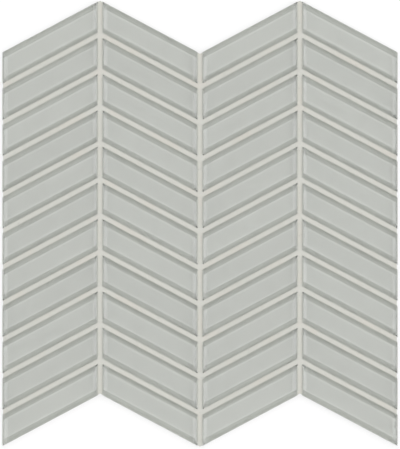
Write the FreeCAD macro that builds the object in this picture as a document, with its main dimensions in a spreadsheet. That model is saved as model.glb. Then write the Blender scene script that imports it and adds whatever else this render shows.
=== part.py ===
import FreeCAD, Part
import os
import Sketcher

# A sheet of chevron wall tile. Glass chips, each a leaning parallelogram, stand in columns that lean
# by turns to the right and to the left. Cement fills the joints between them, and a net of glass
# threads glued to their backs carries them. The sheet lies flat, face up: X runs across the columns,
# Y runs up them, and the origin is in the middle of the net's underside.

COLUMNS = 4
ROWS = 11

SIZES = (
    ("chip_span", 72.7, "chip from end to end, across its column"),
    ("chip_width", 21.5, "chip across its long edges, square to them"),
    ("chip_thickness", 8.0, "chip from its painted back to its face"),
    ("chevron_angle", 28.0, "lean of the long edges, in degrees"),
    ("edge_round", 3.8, "radius of the polished long edges"),
    ("end_bevel", 0.8, "bevel ground on the face's edge at the cut ends"),
    ("end_joint", 3.5, "joint between two columns"),
    ("long_joint", 2.9, "joint between two chips of a column, square to their edges"),
    ("filling_drop", 2.4, "from the chips' faces down to the filling"),
    ("filling_setback", 0.5, "from the sheet's outline in to the filling's ends"),
    ("thread_pitch", 5.0, "net, from thread to thread"),
    ("thread_width", 0.8, "net thread, across"),
    ("thread_height", 0.35, "net thread, up"),
    ("net_margin", 4.0, "from the sheet's outline in to the net's edge"),
)

# What follows from the sizes, as formulas that the features are bound to.
COLUMN_PITCH = "(sizes.chip_span + sizes.end_joint)"
ROW_PITCH = "((sizes.chip_width + sizes.long_joint) / cos(sizes.chevron_angle))"
CHIP_SIDE = "sizes.chip_width / cos(sizes.chevron_angle)"
CHIP_RISE = "sizes.chip_span * tan(sizes.chevron_angle)"
COLUMN_HEIGHT = f"({ROWS} * {ROW_PITCH} - sizes.long_joint / cos(sizes.chevron_angle))"
SHEET_WIDTH = f"({COLUMNS} * {COLUMN_PITCH} - sizes.end_joint)"
SHEET_HEIGHT = f"({COLUMN_HEIGHT} + {CHIP_RISE})"
NET_HEIGHT = "(2 * sizes.thread_height)"

# A sketch's corners start roughly in place, and its constraints bring them to size.
ROUGH = 10.0
# Lengths and volumes closer than this are taken as equal.
NEAR = 1e-4

doc = FreeCAD.newDocument("chevron_sheet")
sizes = doc.addObject("Spreadsheet::Sheet", "sizes")
for line, (alias, value, meaning) in enumerate(SIZES, start=1):
    sizes.set(f"A{line}", meaning)
    sizes.set(f"B{line}", str(value))
    sizes.setAlias(f"B{line}", alias)
doc.recompute()


def bind(feature, **formulas):
    """Bind properties to formulas; a double underscore in a name stands for a dot."""
    for name, formula in formulas.items():
        feature.setExpression(name.replace("__", "."), formula)


def place(feature, x="0", y="0", z="0"):
    """Bind a feature's place to three formulas."""
    bind(feature, Placement__Base__x=x, Placement__Base__y=y, Placement__Base__z=z)


def sketch_on(body, role):
    """An empty sketch on one of the body's own origin planes."""
    sketch = body.newObject("Sketcher::SketchObject", f"{body.Name}_sketch")
    plane = [item for item in body.Origin.OriginFeatures if item.Role == role][0]
    sketch.AttachmentSupport = (plane, "")
    sketch.MapMode = "FlatFace"
    return sketch


def draw_loop(sketch, corners):
    """Straight lines from corner to corner, closed and joined at their ends."""
    starts = [FreeCAD.Vector(x, y, 0) for x, y in corners]
    ends = starts[1:] + starts[:1]
    lines = [sketch.addGeometry(Part.LineSegment(*pair)) for pair in zip(starts, ends)]
    for line, following in zip(lines, lines[1:] + lines[:1]):
        sketch.addConstraint(Sketcher.Constraint("Coincident", line, 2, following, 1))


def measure(sketch, name, formula, kind, *ends):
    """A named dimension of the sketch, bound to a formula."""
    index = sketch.addConstraint(Sketcher.Constraint(kind, *ends, ROUGH))
    sketch.renameConstraint(index, name)
    sketch.setExpression(f"Constraints.{name}", formula)


def pad(body, sketch, length):
    """The sketch's outline carried straight out by a bound length."""
    feature = body.newObject("PartDesign::Pad", f"{body.Name}_pad")
    feature.Profile = sketch
    bind(feature, Length=length)
    doc.recompute()
    return feature


def edges_where(feature, wanted):
    """Names of the feature's edges whose bounding boxes pass a test."""
    edges = enumerate(feature.Shape.Edges, start=1)
    return [f"Edge{number}" for number, edge in edges if wanted(edge.BoundBox)]


def chip_sketch(body, rising):
    """The chip's outline: upright ends, and long edges that lean one way or the other."""
    sketch = sketch_on(body, "XY_Plane")
    draw_loop(sketch, [(-ROUGH, -ROUGH), (ROUGH, -ROUGH), (ROUGH, ROUGH), (-ROUGH, ROUGH)])
    sketch.addConstraint(Sketcher.Constraint("Vertical", 1))
    sketch.addConstraint(Sketcher.Constraint("Symmetric", 0, 1, 2, 1, -1, 1))
    sketch.addConstraint(Sketcher.Constraint("Symmetric", 1, 1, 3, 1, -1, 1))
    low, high = (1, 2) if rising else (2, 1)
    measure(sketch, "span", "sizes.chip_span", "DistanceX", 0, 1, 0, 2)
    measure(sketch, "side", CHIP_SIDE, "DistanceY", 1, 1, 1, 2)
    measure(sketch, "rise", CHIP_RISE, "DistanceY", 0, low, 0, high)
    return sketch


def bevel_sketch(body):
    """The two corners that grinding takes off between the face and the cut ends."""
    sketch = sketch_on(body, "XZ_Plane")
    for first, side in ((0, -1), (3, 1)):
        draw_loop(sketch, [(side * ROUGH, ROUGH), (side * ROUGH / 2, ROUGH), (side * ROUGH, ROUGH / 2)])
        sketch.addConstraint(Sketcher.Constraint("Horizontal", first))
        sketch.addConstraint(Sketcher.Constraint("Vertical", first + 2))
        measure(sketch, f"end_{first}", f"{side} * sizes.chip_span / 2", "DistanceX", -1, 1, first, 1)
        measure(sketch, f"face_{first}", "sizes.chip_thickness", "DistanceY", -1, 1, first, 1)
        measure(sketch, f"in_{first}", f"{-side} * sizes.end_bevel", "DistanceX", first, 1, first, 2)
        measure(sketch, f"down_{first}", "-sizes.end_bevel", "DistanceY", first, 1, first + 2, 1)
    return sketch


def make_chip(column, row):
    """One glass chip: a leaning block with polished long edges and ground ends."""
    body = doc.addObject("PartDesign::Body", f"chip_c{column + 1}_r{row + 1:02d}")
    block = pad(body, chip_sketch(body, rising=column % 2 == 0), "sizes.chip_thickness")
    face_level = sizes.chip_thickness - NEAR

    polish = body.newObject("PartDesign::Fillet", f"{body.Name}_polish")
    polish.Base = (block, edges_where(block, lambda box: box.ZMin > face_level and box.XLength > NEAR))
    bind(polish, Radius="sizes.edge_round")
    doc.recompute()

    grind = body.newObject("PartDesign::Pocket", f"{body.Name}_grind")
    grind.Profile = bevel_sketch(body)
    grind.Type = "ThroughAll"
    grind.SideType = "Symmetric"
    doc.recompute()
    if grind.Shape.Volume > polish.Shape.Volume - NEAR:
        raise RuntimeError(f"the ends of {body.Label} were not ground")

    place(
        body,
        x=f"({column} - {COLUMNS - 1} / 2) * {COLUMN_PITCH}",
        y=f"({ROWS - 1} / 2 - {row}) * {ROW_PITCH}",
        z=NET_HEIGHT,
    )
    return body


def make_slab(name, inset, height):
    """A slab of the sheet's zigzag outline, drawn in from it all round by an inset."""
    body = doc.addObject("PartDesign::Body", name)
    sketch = sketch_on(body, "XY_Plane")
    steps = [turn - COLUMNS / 2 for turn in range(COLUMNS + 1)]
    lower = [(step * ROUGH, -ROUGH) for step in steps]
    upper = [(step * ROUGH, ROUGH) for step in reversed(steps)]
    draw_loop(sketch, lower + upper)
    half_height = f"({COLUMN_HEIGHT} / 2 - {inset} / cos(sizes.chevron_angle))"
    for turn, step in enumerate(steps):
        across = f"{step} * {COLUMN_PITCH}"
        reach = f"{COLUMN_PITCH} / 2"
        if turn in (0, COLUMNS):
            across = f"{2 * step / COLUMNS} * ({SHEET_WIDTH} / 2 - {inset})"
            reach = f"(sizes.chip_span / 2 - {inset})"
        way = 1 if turn % 2 else -1
        zigzag = f"{way} * {reach} * tan(sizes.chevron_angle)"
        opposite = 2 * COLUMNS + 1 - turn
        for edge, corner, half in (("lower", turn, "-"), ("upper", opposite, "+")):
            measure(sketch, f"{edge}_x_{turn}", across, "DistanceX", -1, 1, corner, 1)
            rise = f"{zigzag} {half} {half_height}"
            measure(sketch, f"{edge}_y_{turn}", rise, "DistanceY", -1, 1, corner, 1)
    pad(body, sketch, height)
    return body


def make_filling(chips):
    """The cement in the joints: a slab of the sheet's outline less every chip."""
    slab = make_slab("filling_slab", "sizes.filling_setback", "sizes.chip_thickness - sizes.filling_drop")
    place(slab, z=NET_HEIGHT)
    all_chips = doc.addObject("Part::Compound", "all_chips")
    all_chips.Links = chips
    filling = doc.addObject("Part::Cut", "joint_filling")
    filling.Base = slab
    filling.Tool = all_chips
    filling.Refine = True
    return filling


def make_threads(name, outline, plane, length, breadth, level):
    """One layer of the net: like threads side by side, trimmed to the net's outline."""
    body = doc.addObject("PartDesign::Body", f"{name}_untrimmed")
    each_side = f"floor({breadth} / 2 / sizes.thread_pitch)"
    sketch = sketch_on(body, plane)
    draw_loop(sketch, [(-ROUGH, 0), (ROUGH, 0), (ROUGH, ROUGH), (-ROUGH, ROUGH)])
    for line, direction in enumerate(("Horizontal", "Vertical", "Horizontal", "Vertical")):
        sketch.addConstraint(Sketcher.Constraint(direction, line))
    first = f"-({each_side} * sizes.thread_pitch + sizes.thread_width / 2)"
    measure(sketch, "first", first, "DistanceX", -1, 1, 0, 1)
    measure(sketch, "width", "sizes.thread_width", "DistanceX", 0, 1, 0, 2)
    measure(sketch, "level", level, "DistanceY", -1, 1, 0, 1)
    measure(sketch, "height", "sizes.thread_height", "DistanceY", 1, 1, 1, 2)
    thread = pad(body, sketch, length)
    thread.SideType = "Symmetric"

    layer = body.newObject("PartDesign::LinearPattern", f"{name}_layer")
    layer.Originals = [thread]
    layer.Direction = (sketch, ["H_Axis"])
    layer.Mode = "Spacing"
    bind(layer, Offset="sizes.thread_pitch", Occurrences=f"2 * {each_side} + 1")
    body.Tip = layer
    doc.recompute()

    threads = doc.addObject("Part::Common", name)
    threads.Base = body
    threads.Tool = outline
    return threads


chips = [make_chip(column, row) for column in range(COLUMNS) for row in range(ROWS)]
sub_parts = chips + [make_filling(chips)]

net = make_slab("net_outline", "sizes.net_margin", NET_HEIGHT)
sub_parts += [
    make_threads("net_upright_threads", net, "XZ_Plane", SHEET_HEIGHT, SHEET_WIDTH, "sizes.thread_height"),
    make_threads("net_level_threads", net, "YZ_Plane", SHEET_WIDTH, SHEET_HEIGHT, "0"),
]
doc.recompute()

failed = [item.Name for item in doc.Objects if {"Invalid", "Error"} & set(item.State)]
failed += [item.Name for item in sub_parts if item.Shape.isNull() or not item.Shape.isValid()]
if failed:
    raise RuntimeError(f"these came out wrong: {failed}")

os.makedirs("parts", exist_ok=True)
for item in sub_parts:
    item.Shape.exportStep(f"parts/{item.Label}.step")
    print(item.Label, len(item.Shape.Solids), "solids", round(item.Shape.Volume, 1), "mm3")
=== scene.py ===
import math
from collections import namedtuple

import bpy
import numpy as np
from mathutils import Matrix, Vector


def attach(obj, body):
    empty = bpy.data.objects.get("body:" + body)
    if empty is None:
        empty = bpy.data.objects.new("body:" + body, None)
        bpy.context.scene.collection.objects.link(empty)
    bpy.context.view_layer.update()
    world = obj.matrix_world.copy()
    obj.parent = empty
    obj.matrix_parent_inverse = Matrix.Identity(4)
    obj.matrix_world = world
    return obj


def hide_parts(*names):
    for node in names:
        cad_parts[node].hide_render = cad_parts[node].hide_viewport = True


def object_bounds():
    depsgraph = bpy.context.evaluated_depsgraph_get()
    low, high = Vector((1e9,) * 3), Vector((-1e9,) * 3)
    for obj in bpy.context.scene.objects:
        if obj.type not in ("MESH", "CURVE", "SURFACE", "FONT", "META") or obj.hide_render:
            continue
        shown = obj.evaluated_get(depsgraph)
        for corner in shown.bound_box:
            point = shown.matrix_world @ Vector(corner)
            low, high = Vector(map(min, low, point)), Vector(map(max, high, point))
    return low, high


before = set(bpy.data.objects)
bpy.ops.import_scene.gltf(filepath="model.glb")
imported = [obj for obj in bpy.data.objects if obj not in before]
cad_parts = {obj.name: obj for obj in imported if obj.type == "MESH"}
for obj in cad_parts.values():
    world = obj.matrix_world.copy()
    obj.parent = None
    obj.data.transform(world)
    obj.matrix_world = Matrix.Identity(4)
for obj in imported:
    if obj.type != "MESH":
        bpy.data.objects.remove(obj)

CAD_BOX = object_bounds()

bl_info = {
    "name": "Chevron wall tile",
    "version": (1, 0, 0),
    "blender": (4, 5, 0),
    "location": "3D View > Sidebar > Chevron tile",
    "description": "Dresses a sheet of chevron glass tile: chips, joint filling, net and stage",
    "category": "Object",
}

MM = 0.001
TOLERANCE = 0.01 * MM
X, Y, Z = range(3)
ROUND_STEPS = 12
YARN_SIDES = 10
HALF_TURN = 0.5
TONE_SEED = 4
GLASS_IOR = 1.5
WHITE = (1.0, 1.0, 1.0, 1.0)

CHIP_NODES = sorted(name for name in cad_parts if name.startswith("chip_"))
FILLING_NODE = "joint_filling"
UPRIGHT_NODE = "net_upright_threads"
LEVEL_NODE = "net_level_threads"

# Grains: how fine to a metre, and how high
GRINDING = (2500.0, 0.02 * MM)
PAINT_TOOTH = (1800.0, 0.01 * MM)
BACKING_TOOTH = (1400.0, 0.02 * MM)
YARN_FUZZ = (3000.0, 0.0)
FLOOR_TOOTH = (900.0, 0.02 * MM)

# Grains whose height is a setting: how fine to a metre
GLASS_WAVES = 90.0
CEMENT_SAND = 1500.0

# Patches and specks: how fine to a metre, and the share of the surface that they take
GLASS_SMEARS = (55.0, 0.6)
PAINT_CLOUDS = (70.0, 0.5)
PAINT_SPECKS = (900.0, 0.04)
BACKING_CLOUDS = (90.0, 0.55)
BACKING_SPECKS = (650.0, 0.06)
CEMENT_PATCHES = (45.0, 0.55)
CEMENT_SHADED_PORES = (700.0, 0.12)

# Roughness at the smoothest and at the roughest spots
POLISHED = (0.015, 0.035)
GROUND = (0.3, 0.45)
PAINTED = (0.55, 0.75)
COATED = (0.75, 0.95)
SANDED = (0.85, 0.97)
SPUN = (0.45, 0.7)

# How far the textures change a shade
GRINDING_SHADE = 0.92
PAINT_CLOUD_SHADE = -0.025
PAINT_TOOTH_SHADE = 0.03
PAINT_SPECK_SHADE = -0.08
BACKING_WEAR = 0.86
BACKING_CLOUD_SHARE = 0.45
SAND_LOWEST = 0.96
SAND_SHADE = 0.08
FUZZ_SHARE = 0.25

# Inner workings of the textures
GRAIN_NOISE = {"Detail": 4.0, "Roughness": 0.65}
GRAIN_RANGE = (0.3, 0.7)
GRAIN_MIDDLE = 0.5
CLOUD_NOISE = {"Detail": 3.0, "Roughness": 0.5}
CLOUD_START = 0.75
CLOUD_DROP = -0.5
CLOUD_EDGE = 0.2
SPECK_EDGE = (0.32, 0.18)
STRAND_RANGE = (-1.0, 0.4)
CEMENT_SPECULAR = 0.25
YARN_SHEEN = 0.2

# Places of the colours among the sockets of a Mix node
MIX_AMOUNT, MIX_FIRST, MIX_SECOND = 0, 6, 7
MIX_RESULT = 2

Chip = namedtuple("Chip", "middle half_span half_width slope lean thickness edge_round end_bevel")
Bar = namedtuple("Bar", "points spread upper under caps")


def length(name, description, default):
    """A size property in metres."""
    return bpy.props.FloatProperty(name=name, description=description, default=default, precision=5,
                                   subtype="DISTANCE", unit="LENGTH")


def share(name, description, default):
    """A property between nothing and all."""
    return bpy.props.FloatProperty(name=name, description=description, default=default,
                                   min=0.0, max=1.0, subtype="FACTOR")


def angle(name, description, default):
    """An angle property, written in degrees."""
    return bpy.props.FloatProperty(name=name, description=description, default=math.radians(default),
                                   subtype="ANGLE", unit="ROTATION")


def number(name, description, default):
    """A plain number property."""
    return bpy.props.FloatProperty(name=name, description=description, default=default)


def colour(name, description, default):
    """A colour property, in linear values."""
    return bpy.props.FloatVectorProperty(name=name, description=description, default=default, size=3,
                                         min=0.0, max=1.0, subtype="COLOR")


class ChipSettings(bpy.types.PropertyGroup):
    """Glass and back paint of the chips."""

    air_gap: length("Air gap", "Thin gap round the glass of a chip", 0.04 * MM)
    guard: length("Guard", "Width of the strip in which an edge's shading turns", 0.15 * MM)
    paint_depth: length("Paint", "Thickness of the back paint", 0.1 * MM)
    tint: colour("Tint", "What the glass lets through", (0.985, 0.995, 0.985))
    ground: colour("Ground glass", "Colour of the ground walls and ends", (0.95, 0.96, 0.93))
    ground_clear: share("Ground clearness", "How much the ground walls and ends let through", 0.2)
    # Painted shade: the arris is darker than the ground walls, so the bevels show as a shade line along
    # the ends
    shaded_arris: colour("Arris", "Colour of the bevels along the ends", (0.54, 0.55, 0.51))
    arris_clear: share("Arris clearness", "How much those bevels let through", 0.1)
    face: colour("Face", "Paint behind the face", (0.563, 0.571, 0.536))
    # Painted light: a lighter rim beside the shade band and along the ends, for light that the glass's
    # edges and ends let in
    painted_light_rim: colour("Border", "Paint along the face's rim", (0.790, 0.797, 0.772))
    # Painted shade: the band colours darken the paint under the rounded edges, darker inside and
    # lighter outside
    shade_band_inner: colour("Band, inner", "Paint margin on its inner side", (0.445, 0.458, 0.416))
    shade_band_outer: colour("Band, outer", "Paint margin on its outer side", (0.512, 0.526, 0.480))
    backing: colour("Backing", "Plain coat behind the paint", (0.73, 0.74, 0.71))
    # Sizes of the painted light rims
    border_width: length("Border width", "Lighter rim beside the margin", 2.2 * MM)
    painted_light_share: share("Border share", "Strength of that rim beside the margin", 0.31)
    end_light_reach: length("End border", "Lighter rim at the ends", 4.8 * MM)
    end_light_core: length("End core", "How much of that rim is at its lightest", 2.0 * MM)
    # Painted light: the shade band is lifted near the ends, most at the acute corners
    corner_light_reach: length("Corner reach", "How far the margin is lighter from the ends", 4.5 * MM)
    acute_light_share: share("Acute corners", "How much lighter the margin is at the acute corners", 1.0)
    obtuse_light_share: share("Obtuse corners", "How much lighter the margin is at the obtuse corners", 0.3)
    # Sizes of the painted shade band under the rounded edges
    margin_spread: length("Margin spread", "How far the margin reaches in from the rounding", 0.55 * MM)
    margin_soft: length("Margin softness", "Half the width in which the margin ends", 0.4 * MM)
    margin_fade: length("Margin fade", "Width in which the margin turns lighter outwards", 0.7 * MM)
    tone_spread: share("Tone spread", "How far one chip's tone may stray from the next", 0.02)
    ripple: length("Ripple", "Height of the waves in the glass", 0.004 * MM)


class FillingSettings(bpy.types.PropertyGroup):
    """Cement of the joints."""

    cement: colour("Cement", "Main colour of the filling", (0.592, 0.590, 0.546))
    blush: colour("Blush", "Warmer patches of the filling", (0.625, 0.576, 0.512))
    blush_share: share("Blush share", "Strength of the warmer patches", 0.28)
    # Painted shade: the pores are darker specks, with no hollows in the mesh
    pore_shade: share("Pore", "How much darker the pores are", 0.25)
    grain: length("Grain", "Height of the sand grain", 0.05 * MM)


class NetSettings(bpy.types.PropertyGroup):
    """Glass yarn of the net."""

    yarn: colour("Yarn", "Colour of the yarn", (0.80, 0.80, 0.76))
    # Painted shade: the colour between the strands is darker, for the shade in the grooves
    groove_shade: colour("Groove", "Colour between the strands", (0.56, 0.56, 0.50))
    strands: number("Strands", "Strands in a yarn", 4.0)
    lay: length("Lay", "Length of one turn of the strands", 6.0 * MM)
    relief: length("Relief", "Height of the strands", 0.05 * MM)


class StageSettings(bpy.types.PropertyGroup):
    """Camera, floor and light."""

    camera_height: length("Camera height", "Camera above the chips' faces", 2.0)
    view_width: length("View width", "Width that the picture takes in at the faces", 0.30473)
    view_drop: length("View drop", "How far the picture's middle lies below the sheet's", 0.6 * MM)
    floor_half: length("Floor half", "Half the floor's side", 2.0)
    floor: colour("Floor", "Colour of the floor", (0.37, 0.37, 0.37))
    lift: number("Lift", "What the floor adds where it is seen, so that it looks white", 0.62)
    sky: number("Sky", "Strength of the light from all round", 0.486)
    key: number("Key", "Strength added towards the brightest part of the sky", 1.62)
    key_focus: number("Key focus", "How closely that light gathers there", 3.0)
    key_tilt: angle("Key tilt", "Angle of that part from straight overhead", 8.0)
    key_turn: angle("Key turn", "Angle of that part from the sheet's top, to the right", 70.0)


def mesh_object(name, points, faces):
    """A mesh object at the origin from an array of points and a list of faces."""
    mesh = bpy.data.meshes.new(name)
    mesh.from_pydata(points, [], faces)
    piece = bpy.data.objects.new(name, mesh)
    bpy.context.scene.collection.objects.link(piece)
    return piece


def set_faces(mesh, attribute, values):
    """Writes one value of an attribute for each face."""
    mesh.polygons.foreach_set(attribute, np.ascontiguousarray(values))


def set_uv(mesh, name, spread):
    """Writes a UV map from one pair of values for each corner of each face."""
    pairs = np.ascontiguousarray(spread, dtype=np.float32)
    mesh.uv_layers.new(name=name).data.foreach_set("uv", pairs.ravel())


def mesh_loops(mesh):
    """The point that each corner of each face stands on."""
    loops = np.empty(len(mesh.loops), dtype=np.int32)
    mesh.loops.foreach_get("vertex_index", loops)
    return loops


def node_points(node):
    """Every corner of a CAD node's mesh, one row of x, y, z each."""
    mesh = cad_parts[node].data
    points = np.empty(len(mesh.vertices) * 3)
    mesh.vertices.foreach_get("co", points)
    return points.reshape(-1, 3)


def node_edges(node):
    """The two corners of every edge of a CAD node's mesh, one row each."""
    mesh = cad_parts[node].data
    edges = np.empty(len(mesh.edges) * 2, dtype=np.int32)
    mesh.edges.foreach_get("vertices", edges)
    return edges.reshape(-1, 2)


def measure_chip(node):
    """A chip's place and sizes, read from its CAD corners.

    The slope is that of the long edges; the rounding and the bevel are what the flat face lacks
    of the full width and the full span.
    """
    points = node_points(node)
    low, high = points.min(axis=0), points.max(axis=0)
    middle = (low + high) / 2
    x, y, z = (points - middle).T
    half_span, thickness = high[X] - middle[X], high[Z] - low[Z]
    left, right = y[x < -half_span + TOLERANCE], y[x > half_span - TOLERANCE]
    slope = (right.min() - left.min()) / (2 * half_span)
    lean = math.atan(slope)
    across = (y - slope * x) * math.cos(lean)
    face = z > thickness / 2 - TOLERANCE
    half_width = across.max()
    return Chip(middle, half_span, half_width, slope, lean, thickness,
                half_width - across[face].max(), half_span - x[face].max())


def chip_profile(half_width, thickness, radius, guard):
    """Section of a chip as widths and heights: wall, quarter round, flat, quarter round and wall.

    A point one guard inside each quarter round keeps the flat's shading level.
    """
    turn = np.linspace(0, math.pi / 2, ROUND_STEPS + 1)
    width = np.concatenate([[0], radius * (1 - np.cos(turn)), [radius + guard]]) - half_width
    height = np.concatenate([[0], thickness - radius * (1 - np.sin(turn)), [thickness]])
    return np.concatenate([width, -width[::-1]]), np.concatenate([height, height[::-1]])


def leaning_bar(chip, along, width, height, first=0):
    """A section carried along a chip, and the faces that close it: upper sides, underside and caps.

    x runs along the chip and w across it, and y is the slope times x plus w over the cosine of the
    lean. The faces count their points from first, and spread holds x and w at each point.
    """
    x, w = np.meshgrid(along, width, indexing="ij")
    slant = 1 / math.cos(chip.lean)
    z = np.broadcast_to(height, x.shape)
    points = np.stack([x, x * chip.slope + w * slant, z], axis=-1).reshape(-1, 3)
    spread = np.stack([x, w], axis=-1).reshape(-1, 2)
    index = first + np.arange(x.size).reshape(x.shape)
    upper = np.stack([index[:-1, :-1], index[1:, :-1], index[1:, 1:], index[:-1, 1:]], axis=-1)
    under = np.stack([index[:-1, -1], index[1:, -1], index[1:, 0], index[:-1, 0]], axis=-1)
    caps = [index[0].tolist(), index[-1, ::-1].tolist()]
    return Bar(points, spread, upper.reshape(-1, 4).tolist(), under.tolist(), caps)


def glass_bar(chip, settings, half_width, end):
    """The glass of a chip, and a grid of truth values for which of its upper faces are bevels.

    The section stands on the air gap over the paint, and is held under a 45 degree plane at each
    end: the height may not pass the bevel's foot plus the distance from the end.
    """
    width, height = chip_profile(half_width, chip.thickness, chip.edge_round, settings.guard)
    height = np.maximum(height, settings.paint_depth + settings.air_gap)
    reach = end - np.array([0, chip.end_bevel, chip.end_bevel + settings.guard])
    along = np.concatenate([-reach, reach[::-1]])
    foot = chip.thickness - chip.end_bevel
    ceiling = foot + end - np.abs(along)
    glass = leaning_bar(chip, along, width, np.minimum(height, ceiling[:, None]))
    clipped = height > foot + TOLERANCE
    bevel = np.zeros((len(along) - 1, len(width) - 1), dtype=bool)
    bevel[[0, -1]] = clipped[:-1] & clipped[1:]
    return glass, bevel


def coat_bar(chip, settings, half_width, end, first):
    """The paint of a chip as a thin slab, whose upper sides are one wall, the front and one wall."""
    width = half_width * np.array([-1, -1, 1, 1])
    height = settings.paint_depth * np.array([0, 1, 1, 0])
    return leaning_bar(chip, [-end, end], width, height, first)


def make_chip(node, settings, tone, materials):
    """A chip of glass over its back paint.

    The UV map holds the metres along and across the chip from its middle. Those along are turned
    round where the chip leans down, so that both have the same sign at every acute corner.
    """
    chip = measure_chip(node)
    half_width, end = chip.half_width - settings.air_gap, chip.half_span - settings.air_gap
    glass, bevel = glass_bar(chip, settings, half_width, end)
    coat = coat_bar(chip, settings, half_width, end, len(glass.points))
    points = np.concatenate([glass.points, coat.points]) + chip.middle - (0, 0, chip.thickness / 2)
    faces = glass.upper + glass.under + glass.caps + coat.upper + coat.under + coat.caps
    piece = mesh_object(f"glass_{node}", points, faces)

    mesh = piece.data
    for material in materials:
        mesh.materials.append(material)
    clear, ground, shaded_arris, paint, backing = range(len(materials))
    top = np.full(bevel.shape, clear)
    top[:, [0, -1]] = ground
    # The bevels take the arris material, whose darker colour is painted shade
    top[bevel] = shaded_arris
    glass_rest = [clear] * len(glass.under) + [ground] * len(glass.caps)
    coat_rest = [backing] * (len(coat.under) + len(coat.caps))
    chosen = np.concatenate([top.ravel(), glass_rest, [backing, paint, backing], coat_rest])
    set_faces(mesh, "material_index", chosen.astype(np.int32))
    smooth = np.zeros(len(faces), dtype=bool)
    smooth[:bevel.size] = ~bevel.ravel()
    set_faces(mesh, "use_smooth", smooth)
    spread = np.concatenate([glass.spread, coat.spread]) * (np.sign(chip.slope), 1)
    set_uv(mesh, "chip", spread[mesh_loops(mesh)])
    tones = mesh.attributes.new("tone", "FLOAT", "POINT").data
    tones.foreach_set("value", np.full(len(points), tone))
    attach(piece, "root")
    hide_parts(node)


def thread_boxes(node):
    """Low and high corners of every separate thread of a CAD node.

    Corners at one place are joined, and each joined corner takes the lowest label among its
    neighbours until none changes.
    """
    points = node_points(node)
    rounded = np.round(points / TOLERANCE).astype(np.int64)
    places, joined = np.unique(rounded, axis=0, return_inverse=True)
    joined = joined.ravel()
    edges = joined[node_edges(node)]
    label, before = np.arange(len(places)), None
    while before is None or np.any(label != before):
        before = label.copy()
        lowest = label[edges].min(axis=1)
        np.minimum.at(label, edges[:, 0], lowest)
        np.minimum.at(label, edges[:, 1], lowest)
    owners, owner = np.unique(label[joined], return_inverse=True)
    low = np.full((len(owners), 3), np.inf)
    high = -low
    np.minimum.at(low, owner, points)
    np.maximum.at(high, owner, points)
    return low, high


def make_yarns(name, node, run, material):
    """The yarns of one layer of the net, each an ellipse carried straight along its CAD thread.

    run is the axis that the yarns follow. The ellipse fills the thread's width and height, and the
    UV map holds the metres along a yarn and the share of a turn round it.
    """
    low, high = thread_boxes(node)
    middle, half = (low + high) / 2, (high - low) / 2
    cross = X + Y - run
    turn = np.arange(YARN_SIDES) / YARN_SIDES
    circle = 2 * math.pi * turn
    points = np.empty((len(middle), 2, YARN_SIDES, 3))
    points[..., run] = np.stack([low[:, run], high[:, run]], axis=1)[:, :, None]
    points[..., cross] = middle[:, None, None, cross] + half[:, None, None, cross] * np.cos(circle)
    points[..., Z] = middle[:, None, None, Z] + half[:, None, None, Z] * np.sin(circle)
    index = np.arange(points.size // 3).reshape(points.shape[:3])
    ahead = np.roll(index, -1, axis=2)
    quads = np.stack([index[:, 0], ahead[:, 0], ahead[:, 1], index[:, 1]], axis=-1).reshape(-1, 4)
    caps = np.concatenate([index[:, 0, ::-1], index[:, 1]])
    if run == X:
        quads, caps = quads[:, ::-1], caps[:, ::-1]
    piece = mesh_object(name, points.reshape(-1, 3), quads.tolist() + caps.tolist())

    mesh = piece.data
    mesh.materials.append(material)
    loops = mesh_loops(mesh)
    around = np.broadcast_to(turn, index.shape).ravel()
    spread = np.stack([points[..., run].ravel()[loops], around[loops]], axis=-1)
    round_quads = spread[:quads.size, 1].reshape(-1, 4)
    wraps = round_quads.max(axis=1) - round_quads.min(axis=1) > HALF_TURN
    round_quads += wraps[:, None] & (round_quads < HALF_TURN)
    set_uv(mesh, "yarn", spread)
    set_faces(mesh, "use_smooth", np.arange(len(mesh.polygons)) < len(quads))
    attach(piece, "root")
    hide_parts(node)


def put(tree, node, sockets):
    """Sets a node's input sockets to values, or joins them to other sockets."""
    for name, value in sockets.items():
        if isinstance(value, bpy.types.NodeSocket):
            tree.links.new(value, node.inputs[name])
        else:
            node.inputs[name].default_value = value


def add_node(tree, kind, sockets=None, **settings):
    """A new shader node with its settings made and its input sockets set or joined."""
    node = tree.nodes.new("ShaderNode" + kind)
    for name, value in settings.items():
        setattr(node, name, value)
    put(tree, node, sockets or {})
    return node


def maths(tree, operation, *values):
    """The result of a Math node."""
    return add_node(tree, "Math", dict(enumerate(values)), operation=operation).outputs[0]


def ramp(tree, value, start, stop, low=0.0, high=1.0):
    """A smooth step from low at start to high at stop."""
    sockets = {"Value": value, "From Min": start, "From Max": stop, "To Min": low, "To Max": high}
    return add_node(tree, "MapRange", sockets, interpolation_type="SMOOTHSTEP").outputs["Result"]


def between(tree, tone, low, high):
    """A value from low, where a tone is nothing, to high, where it is full."""
    return ramp(tree, tone, 0.0, 1.0, low, high)


def blend(tree, amount, first, second, kind="MIX"):
    """Two colours mixed by an amount."""
    sockets = {MIX_AMOUNT: amount, MIX_FIRST: first, MIX_SECOND: second}
    return add_node(tree, "Mix", sockets, data_type="RGBA", blend_type=kind).outputs[MIX_RESULT]


def toned(tree, base, tone):
    """A colour multiplied by a tone."""
    grey = add_node(tree, "CombineXYZ", {"X": tone, "Y": tone, "Z": tone}).outputs["Vector"]
    return blend(tree, 1.0, base, grey, "MULTIPLY")


def uv_parts(tree, name):
    """The two values of a UV map."""
    spread = add_node(tree, "UVMap", uv_map=name).outputs["UV"]
    parts = add_node(tree, "SeparateXYZ", {"Vector": spread}).outputs
    return parts["X"], parts["Y"]


def rgba(values, shade=1.0):
    """A colour times a shade, with full alpha."""
    return (*(value * shade for value in values), 1.0)


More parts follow.
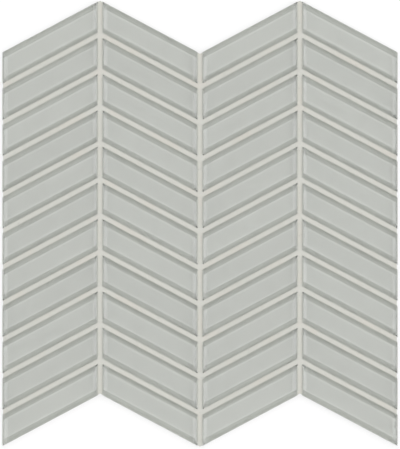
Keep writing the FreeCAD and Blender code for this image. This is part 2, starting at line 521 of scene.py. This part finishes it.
def new_group(name, inputs, outputs):
    """An empty shader node group with named sockets, its input node and its output node."""
    group = bpy.data.node_groups.new(name, "ShaderNodeTree")
    for socket, kind in inputs.items():
        group.interface.new_socket(socket, in_out="INPUT", socket_type="NodeSocket" + kind)
    for socket, kind in outputs.items():
        group.interface.new_socket(socket, in_out="OUTPUT", socket_type="NodeSocket" + kind)
    return group, group.nodes.new("NodeGroupInput").outputs, group.nodes.new("NodeGroupOutput").inputs


def grain_group():
    """Grain: fine noise of a given scale, as a tone between 0 and 1 and as a bumped normal."""
    group, given, wanted = new_group("grain", {"Vector": "Vector", "Scale": "Float", "Height": "Float"},
                                     {"Tone": "Float", "Normal": "Vector"})
    sockets = {"Vector": given["Vector"], "Scale": given["Scale"], **GRAIN_NOISE}
    noise = add_node(group, "TexNoise", sockets).outputs["Fac"]
    bump = add_node(group, "Bump", {"Height": noise, "Distance": given["Height"]})
    group.links.new(ramp(group, noise, *GRAIN_RANGE), wanted["Tone"])
    group.links.new(bump.outputs["Normal"], wanted["Normal"])
    return group


def clouds_group():
    """Clouds: soft patches of a given scale; a larger Share lets them cover more of the surface."""
    group, given, wanted = new_group("clouds", {"Vector": "Vector", "Scale": "Float", "Share": "Float"},
                                     {"Mask": "Float"})
    sockets = {"Vector": given["Vector"], "Scale": given["Scale"], **CLOUD_NOISE}
    noise = add_node(group, "TexNoise", sockets).outputs["Fac"]
    start = maths(group, "MULTIPLY_ADD", given["Share"], CLOUD_DROP, CLOUD_START)
    stop = maths(group, "ADD", start, CLOUD_EDGE)
    group.links.new(ramp(group, noise, start, stop), wanted["Mask"])
    return group


def specks_group():
    """Specks: small round spots of a given scale, in the cells whose random value is under Share."""
    group, given, wanted = new_group("specks", {"Vector": "Vector", "Scale": "Float", "Share": "Float"},
                                     {"Mask": "Float"})
    cells = add_node(group, "TexVoronoi", {"Vector": given["Vector"], "Scale": given["Scale"]})
    pick = add_node(group, "SeparateColor", {"Color": cells.outputs["Color"]})
    held = maths(group, "LESS_THAN", pick.outputs["Red"], given["Share"])
    spot = ramp(group, cells.outputs["Distance"], *SPECK_EDGE)
    group.links.new(maths(group, "MULTIPLY", held, spot), wanted["Mask"])
    return group


def use_group(tree, name, make, **sockets):
    """A node of a shared group, which is built the first time that it is used."""
    group = bpy.data.node_groups.get(name) or make()
    return add_node(tree, "Group", sockets, node_tree=group).outputs


def grain(tree, place, scale, height):
    """The tone and the normal of a grain."""
    return use_group(tree, "grain", grain_group, Vector=place, Scale=scale, Height=height)


def clouds(tree, place, scale, cover):
    """A mask of soft patches."""
    return use_group(tree, "clouds", clouds_group, Vector=place, Scale=scale, Share=cover)["Mask"]


def specks(tree, place, scale, cover):
    """A mask of small round spots."""
    return use_group(tree, "specks", specks_group, Vector=place, Scale=scale, Share=cover)["Mask"]


def new_material(name):
    """A material, its node tree, its Principled shader joined to the output, and object coordinates."""
    material = bpy.data.materials.new(name)
    material.use_nodes = True
    tree = material.node_tree
    tree.nodes.clear()
    shader = add_node(tree, "BsdfPrincipled")
    add_node(tree, "OutputMaterial", {"Surface": shader.outputs["BSDF"]})
    place = add_node(tree, "TexCoord").outputs["Object"]
    return material, tree, shader, place


def clear_glass(settings):
    """Polished glass: faint waves, and a roughness that changes where it has been wiped."""
    material, tree, shader, place = new_material("clear_glass")
    wave = grain(tree, place, GLASS_WAVES, settings.ripple)
    smear = clouds(tree, place, *GLASS_SMEARS)
    put(tree, shader, {"Base Color": rgba(settings.tint), "Transmission Weight": 1.0, "IOR": GLASS_IOR,
                       "Roughness": between(tree, smear, *POLISHED), "Normal": wave["Normal"]})
    return material


def ground_glass(name, shade, clearness):
    """Ground glass: matt, with the grinding's fine grain, and more or less let through."""
    material, tree, shader, place = new_material(name)
    tooth = grain(tree, place, *GRINDING)
    base = blend(tree, tooth["Tone"], rgba(shade), rgba(shade, GRINDING_SHADE))
    put(tree, shader, {"Base Color": base, "Transmission Weight": clearness, "IOR": GLASS_IOR,
                       "Roughness": between(tree, tooth["Tone"], *GROUND), "Normal": tooth["Normal"]})
    return material


def back_paint(settings):
    """Back paint of the chips, by the distances from the long edges and from the ends.

    A darker margin of painted shade lies under the rounded edges, darkest on its inner side; painted
    light lifts it near the ends, above all at the acute corners, where the UV map's two values have the
    same sign. A lighter rim of painted light lies beside it and along the ends; the rest is the face
    colour with soft clouds and specks.
    """
    material, tree, shader, place = new_material("back_paint")
    chip = measure_chip(CHIP_NODES[0])
    along, across = uv_parts(tree, "chip")
    from_edge = maths(tree, "SUBTRACT", chip.half_width, maths(tree, "ABSOLUTE", across))
    from_end = maths(tree, "SUBTRACT", chip.half_span, maths(tree, "ABSOLUTE", along))
    shade_margin = chip.edge_round + settings.margin_spread

    # Painted light: lighter rims beside the shade band and along the ends
    side_painted_light = ramp(tree, from_edge, shade_margin + settings.border_width, shade_margin, 0.0, settings.painted_light_share)
    end_painted_light = ramp(tree, from_end, settings.end_light_reach, settings.end_light_core)
    rim = maths(tree, "MAXIMUM", side_painted_light, end_painted_light)
    face = blend(tree, rim, rgba(settings.face), rgba(settings.painted_light_rim))

    # Painted shade band under the rounded edges, lighter towards the outer edge
    depth = ramp(tree, from_edge, chip.edge_round, chip.edge_round - settings.margin_fade)
    shade_band = blend(tree, depth, rgba(settings.shade_band_inner), rgba(settings.shade_band_outer))
    # Painted light lifts the shade band near the ends, most at the acute corners
    acute = maths(tree, "GREATER_THAN", maths(tree, "MULTIPLY", along, across), 0.0)
    lightest = between(tree, acute, settings.obtuse_light_share, settings.acute_light_share)
    corner = maths(tree, "MULTIPLY", ramp(tree, from_end, settings.corner_light_reach, 0.0), lightest)
    shade_band = blend(tree, corner, shade_band, rgba(settings.painted_light_rim))
    # The painted shade band takes over from the face colour inside the shade margin
    within = ramp(tree, from_edge, shade_margin + settings.margin_soft, shade_margin - settings.margin_soft)
    base = blend(tree, within, face, shade_band)

    fine = grain(tree, place, *PAINT_TOOTH)
    tooth = maths(tree, "SUBTRACT", fine["Tone"], GRAIN_MIDDLE)
    tone = add_node(tree, "Attribute", attribute_name="tone").outputs["Fac"]
    tone = maths(tree, "MULTIPLY_ADD", clouds(tree, place, *PAINT_CLOUDS), PAINT_CLOUD_SHADE, tone)
    tone = maths(tree, "MULTIPLY_ADD", tooth, PAINT_TOOTH_SHADE, tone)
    tone = maths(tree, "MULTIPLY_ADD", specks(tree, place, *PAINT_SPECKS), PAINT_SPECK_SHADE, tone)
    put(tree, shader, {"Base Color": toned(tree, base, tone), "Normal": fine["Normal"],
                       "Roughness": between(tree, fine["Tone"], *PAINTED)})
    return material


def plain_backing(settings):
    """Matt coat behind the paint: rolled on in soft clouds, with a fine tooth and a few bare specks."""
    material, tree, shader, place = new_material("plain_backing")
    fine = grain(tree, place, *BACKING_TOOTH)
    worn = rgba(settings.backing, BACKING_WEAR)
    cloud = maths(tree, "MULTIPLY", clouds(tree, place, *BACKING_CLOUDS), BACKING_CLOUD_SHARE)
    base = blend(tree, cloud, rgba(settings.backing), worn)
    base = blend(tree, specks(tree, place, *BACKING_SPECKS), base, worn)
    put(tree, shader, {"Base Color": base, "Normal": fine["Normal"],
                       "Roughness": between(tree, fine["Tone"], *COATED)})
    return material


def joint_cement(settings):
    """Sanded cement: grain, warm patches, pores darkened with painted shade, and a matt surface."""
    material, tree, shader, place = new_material("joint_cement")
    sand = grain(tree, place, CEMENT_SAND, settings.grain)
    patch = maths(tree, "MULTIPLY", clouds(tree, place, *CEMENT_PATCHES), settings.blush_share)
    warm = blend(tree, patch, rgba(settings.cement), rgba(settings.blush))
    tone = maths(tree, "MULTIPLY_ADD", sand["Tone"], SAND_SHADE, SAND_LOWEST)
    # Painted shade: darker specks for the pores
    tone = maths(tree, "MULTIPLY_ADD", specks(tree, place, *CEMENT_SHADED_PORES), -settings.pore_shade, tone)
    put(tree, shader, {"Base Color": toned(tree, warm, tone), "Specular IOR Level": CEMENT_SPECULAR,
                       "Roughness": between(tree, sand["Tone"], *SANDED), "Normal": sand["Normal"]})
    return material


def glass_yarn(settings):
    """Twisted glass yarn with a soft sheen.

    The strands wind round it: they follow the sine of the turns round the yarn plus the turns of
    the lay along it.
    """
    material, tree, shader, place = new_material("glass_yarn")
    along, around = uv_parts(tree, "yarn")
    turns = maths(tree, "ADD", maths(tree, "DIVIDE", along, settings.lay), around)
    wave = maths(tree, "SINE", maths(tree, "MULTIPLY", turns, 2 * math.pi * settings.strands))
    strand = ramp(tree, wave, *STRAND_RANGE)
    fuzz = grain(tree, place, *YARN_FUZZ)["Tone"]
    # Painted shade darkens the grooves between the strands; the fuzz darkens towards the same colour at
    # random
    shade = blend(tree, strand, rgba(settings.groove_shade), rgba(settings.yarn))
    shade = blend(tree, maths(tree, "MULTIPLY", fuzz, FUZZ_SHARE), shade, rgba(settings.groove_shade))
    bump = add_node(tree, "Bump", {"Height": strand, "Distance": settings.relief})
    put(tree, shader, {"Base Color": shade, "Roughness": between(tree, fuzz, *SPUN),
                       "Sheen Weight": YARN_SHEEN, "Normal": bump.outputs["Normal"]})
    return material


def white_floor(settings):
    """Matt floor that adds some light of its own where it is seen, so that it looks white."""
    material, tree, shader, place = new_material("floor")
    tooth = grain(tree, place, *FLOOR_TOOTH)
    path = add_node(tree, "LightPath").outputs
    by_glass = maths(tree, "MAXIMUM", path["Is Glossy Ray"], path["Is Transmission Ray"])
    seen = maths(tree, "MAXIMUM", path["Is Camera Ray"], by_glass)
    put(tree, shader, {"Base Color": rgba(settings.floor), "Roughness": 1.0, "Specular IOR Level": 0.0,
                       "Normal": tooth["Normal"], "Emission Color": WHITE,
                       "Emission Strength": maths(tree, "MULTIPLY", seen, settings.lift)})
    return material


def studio_world(settings):
    """Soft light from all round, stronger by a power of the cosine towards one part of the sky."""
    world = bpy.data.worlds.new("studio")
    world.use_nodes = True
    tree = world.node_tree
    tilt, turn = settings.key_tilt, settings.key_turn
    key = (math.sin(tilt) * math.sin(turn), math.sin(tilt) * math.cos(turn), math.cos(tilt))
    view = add_node(tree, "TexCoord").outputs["Generated"]
    toward = add_node(tree, "VectorMath", {0: view, 1: key}, operation="DOT_PRODUCT").outputs["Value"]
    gathered = maths(tree, "POWER", maths(tree, "MAXIMUM", toward, 0.0), settings.key_focus)
    strength = maths(tree, "MULTIPLY_ADD", gathered, settings.key, settings.sky)
    put(tree, tree.nodes["Background"], {"Color": WHITE, "Strength": strength})
    return world


def make_floor(settings):
    """A square of floor under the sheet."""
    half = settings.floor_half
    corners = np.array([(-half, -half, 0), (half, -half, 0), (half, half, 0), (-half, half, 0)])
    floor = mesh_object("floor", corners, [(0, 1, 2, 3)])
    floor.data.materials.append(white_floor(settings))


def make_camera(settings):
    """A camera straight above the sheet, whose lens takes in the view's width at the faces."""
    data = bpy.data.cameras.new("camera")
    data.sensor_fit = "HORIZONTAL"
    data.lens = data.sensor_width * settings.camera_height / settings.view_width
    camera = bpy.data.objects.new("camera", data)
    faces = CAD_BOX[1][Z]
    camera.location = (0, -settings.view_drop, faces + settings.camera_height)
    bpy.context.scene.collection.objects.link(camera)
    return camera


class CHEVRON_OT_chips(bpy.types.Operator):
    """Make the glass chips with their back paint"""

    bl_idname = "chevron.chips"
    bl_label = "Glass chips"

    def execute(self, context):
        settings = context.scene.chevron_chips
        materials = [clear_glass(settings),
                     ground_glass("ground_wall", settings.ground, settings.ground_clear),
                     ground_glass("ground_arris", settings.shaded_arris, settings.arris_clear),
                     back_paint(settings), plain_backing(settings)]
        strays = np.random.default_rng(TONE_SEED).uniform(-1, 1, len(CHIP_NODES))
        for node, tone in zip(CHIP_NODES, 1 + settings.tone_spread * strays):
            make_chip(node, settings, tone, materials)
        return {"FINISHED"}


class CHEVRON_OT_filling(bpy.types.Operator):
    """Dress the joint filling in cement"""

    bl_idname = "chevron.filling"
    bl_label = "Joint filling"

    def execute(self, context):
        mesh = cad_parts[FILLING_NODE].data
        mesh.materials.clear()
        mesh.materials.append(joint_cement(context.scene.chevron_filling))
        return {"FINISHED"}


class CHEVRON_OT_net(bpy.types.Operator):
    """Make the two layers of the net's yarn"""

    bl_idname = "chevron.net"
    bl_label = "Net"

    def execute(self, context):
        material = glass_yarn(context.scene.chevron_net)
        make_yarns("net_yarns_level", LEVEL_NODE, X, material)
        make_yarns("net_yarns_upright", UPRIGHT_NODE, Y, material)
        return {"FINISHED"}


class CHEVRON_OT_stage(bpy.types.Operator):
    """Set the floor, the light and the camera"""

    bl_idname = "chevron.stage"
    bl_label = "Stage"

    def execute(self, context):
        scene = context.scene
        settings = scene.chevron_stage
        scene.view_settings.view_transform = "Standard"
        scene.world = studio_world(settings)
        make_floor(settings)
        scene.camera = make_camera(settings)
        return {"FINISHED"}


class CHEVRON_PT_panel(bpy.types.Panel):
    """The sheet's pieces, in the order in which they are made"""

    bl_label = "Chevron tile"
    bl_space_type = "VIEW_3D"
    bl_region_type = "UI"
    bl_category = "Chevron tile"

    def draw(self, context):
        for operator in OPERATORS:
            self.layout.operator(operator.bl_idname)


SETTINGS = {
    "chevron_chips": ChipSettings,
    "chevron_filling": FillingSettings,
    "chevron_net": NetSettings,
    "chevron_stage": StageSettings,
}
OPERATORS = (CHEVRON_OT_chips, CHEVRON_OT_filling, CHEVRON_OT_net, CHEVRON_OT_stage)
CLASSES = (*SETTINGS.values(), *OPERATORS, CHEVRON_PT_panel)


def register():
    """Registers the classes, and hangs the settings on the scene."""
    for item in CLASSES:
        bpy.utils.register_class(item)
    for name, group in SETTINGS.items():
        setattr(bpy.types.Scene, name, bpy.props.PointerProperty(type=group))


def unregister():
    """Takes the settings and the classes away again."""
    for name in SETTINGS:
        delattr(bpy.types.Scene, name)
    for item in reversed(CLASSES):
        bpy.utils.unregister_class(item)


def main():
    """Makes every piece and the stage."""
    register()
    bpy.ops.chevron.chips()
    bpy.ops.chevron.filling()
    bpy.ops.chevron.net()
    bpy.ops.chevron.stage()


if __name__ == "__main__":
    main()
